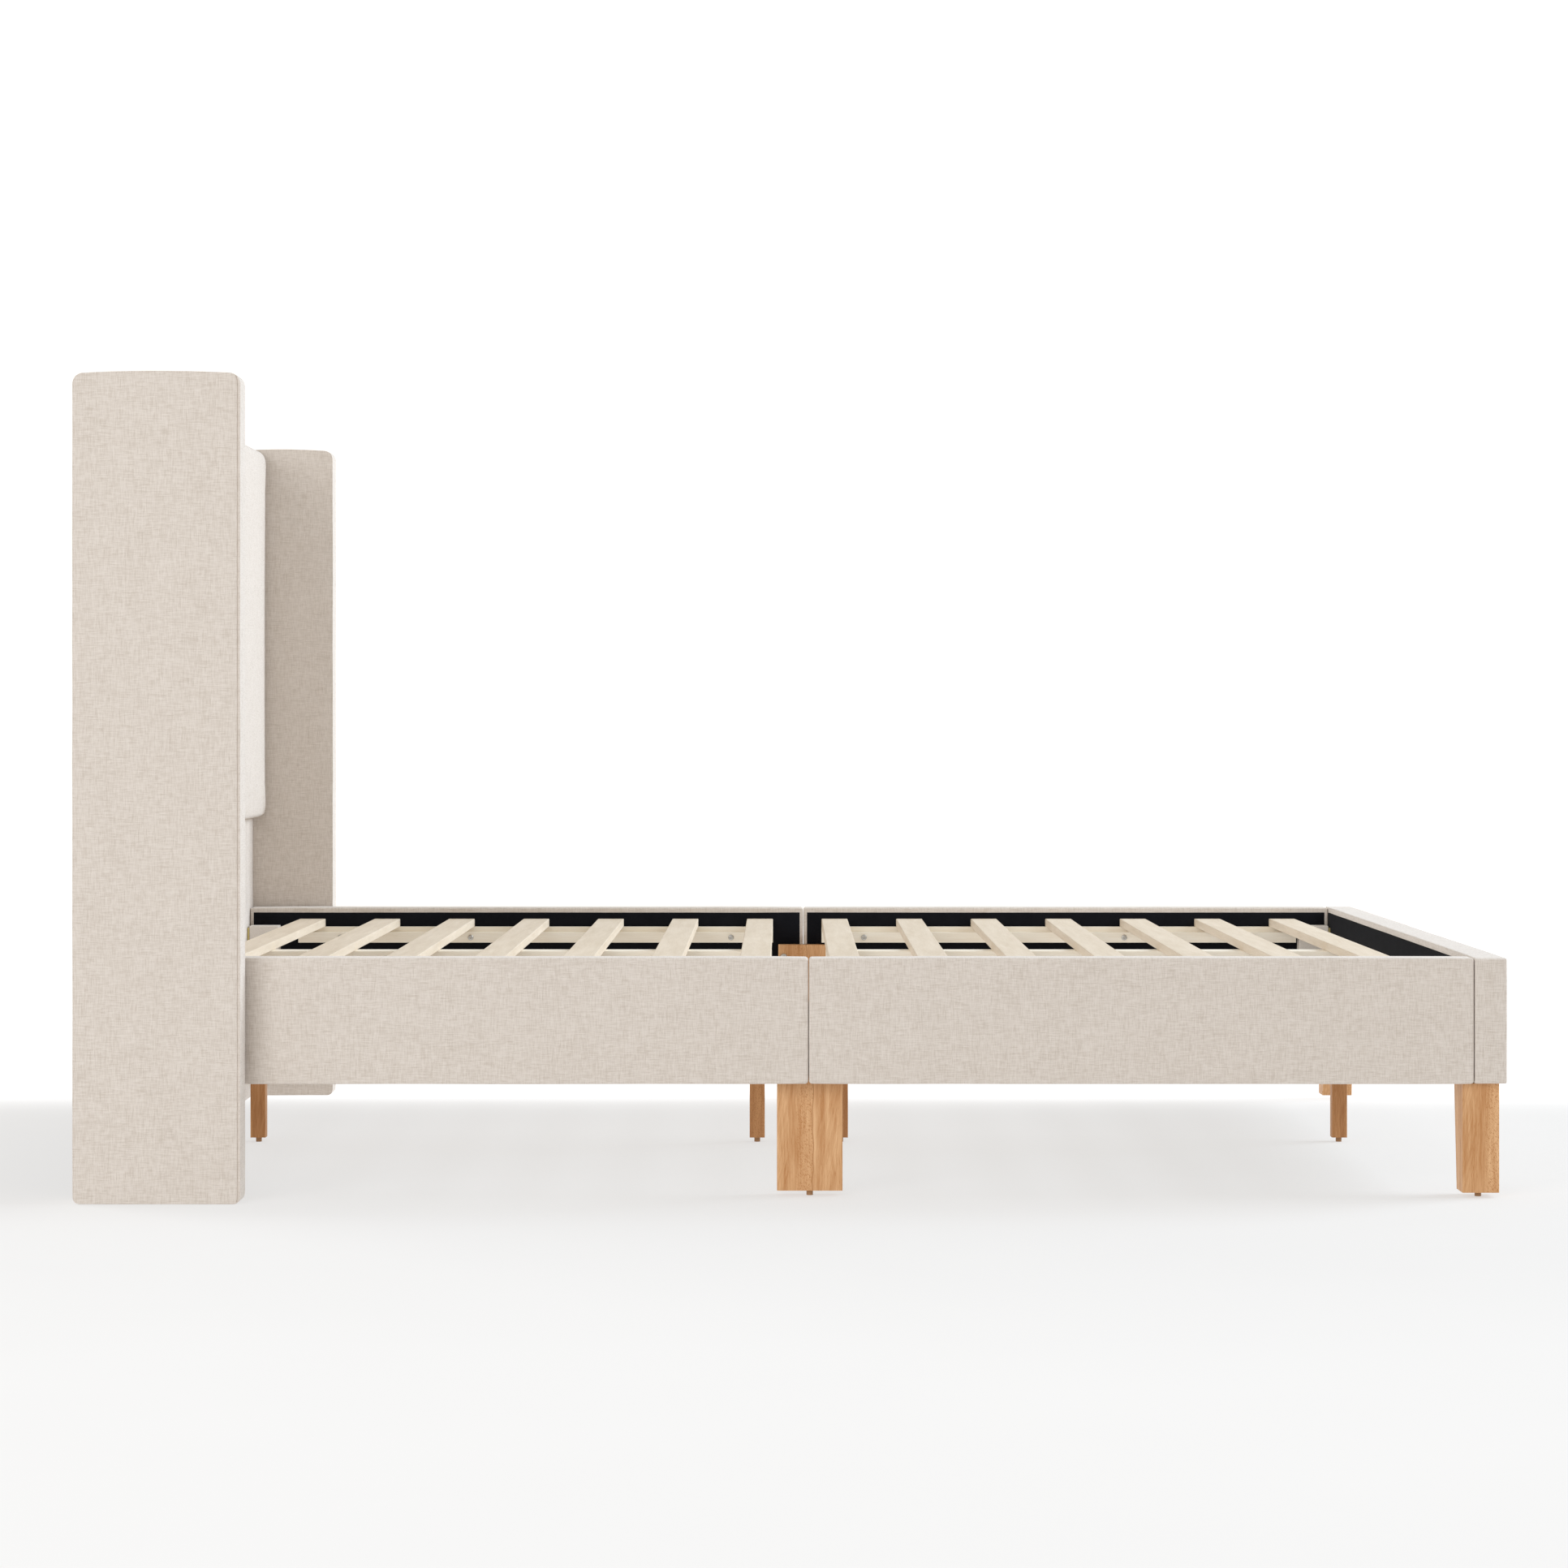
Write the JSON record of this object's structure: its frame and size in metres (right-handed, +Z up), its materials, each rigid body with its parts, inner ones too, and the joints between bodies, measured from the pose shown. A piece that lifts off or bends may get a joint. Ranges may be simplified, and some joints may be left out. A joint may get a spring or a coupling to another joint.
{
  "type": "upholstered wingback platform bed",
  "caption": "Linen-covered platform bed with a tall padded headboard between two wings, split side rails, wooden slats on ledgers and a centre beam, and tapered wooden legs.",
  "frame": {"origin": "on the floor, at the middle of the bed's overall box", "axes": "+X towards the foot end, +Y to the sleeper's left, +Z up"},
  "size_m": [2.172, 1.748, 1.255],
  "materials": {
    "linen": "matte",
    "black_lining": "matte",
    "foam": "matte",
    "board": "matte",
    "pale_wood": "matte",
    "leg_wood": "satin",
    "block_wrap": "matte",
    "yellow_zinc": "satin",
    "steel": "satin",
    "glide_plastic": "matte"
  },
  "bodies": {
    "root": {"centre_beam_foot": "pale_wood", "centre_beam_head": "pale_wood", "centre_legs_foot": "leg_wood", "centre_legs_head": "leg_wood", "corner_blocks": "block_wrap", "foot_leg_left": "leg_wood", "foot_leg_right": "leg_wood", "footboard_core": "board", "footboard_cover": "linen", "frame_bolts": "steel", "frame_foam_sheets": "foam", "frame_inner_linings": "black_lining", "headboard_back_lining": "black_lining", "headboard_cover": "linen", "headboard_foam": "foam", "headboard_frame": "pale_wood", "headboard_front_board": "board", "headboard_pad_board": "board", "headboard_pad_cover": "linen", "headboard_pad_foam": "foam", "hook_plates": "yellow_zinc", "ledger_bolts": "steel", "ledger_left_foot": "pale_wood", "ledger_left_head": "pale_wood", "ledger_right_foot": "pale_wood", "ledger_right_head": "pale_wood", "leg_glides": "glide_plastic", "leg_hanger_bolts": "steel", "middle_leg_left": "leg_wood", "middle_leg_right": "leg_wood", "rail_left_foot_core": "board", "rail_left_foot_cover": "linen", "rail_left_head_core": "board", "rail_left_head_cover": "linen", "rail_right_foot_core": "board", "rail_right_foot_cover": "linen", "rail_right_head_core": "board", "rail_right_head_cover": "linen", "slat_01": "pale_wood", "slat_02": "pale_wood", "slat_03": "pale_wood", "slat_04": "pale_wood", "slat_05": "pale_wood", "slat_06": "pale_wood", "slat_07": "pale_wood", "slat_08": "pale_wood", "slat_09": "pale_wood", "slat_10": "pale_wood", "slat_11": "pale_wood", "slat_12": "pale_wood", "slat_13": "pale_wood", "slat_14": "pale_wood", "slat_battens": "pale_wood", "slat_screws": "steel", "wing_left_core": "board", "wing_left_cover": "linen", "wing_left_foam": "foam", "wing_right_core": "board", "wing_right_cover": "linen", "wing_right_foam": "foam"}
  },
  "joints": []
}
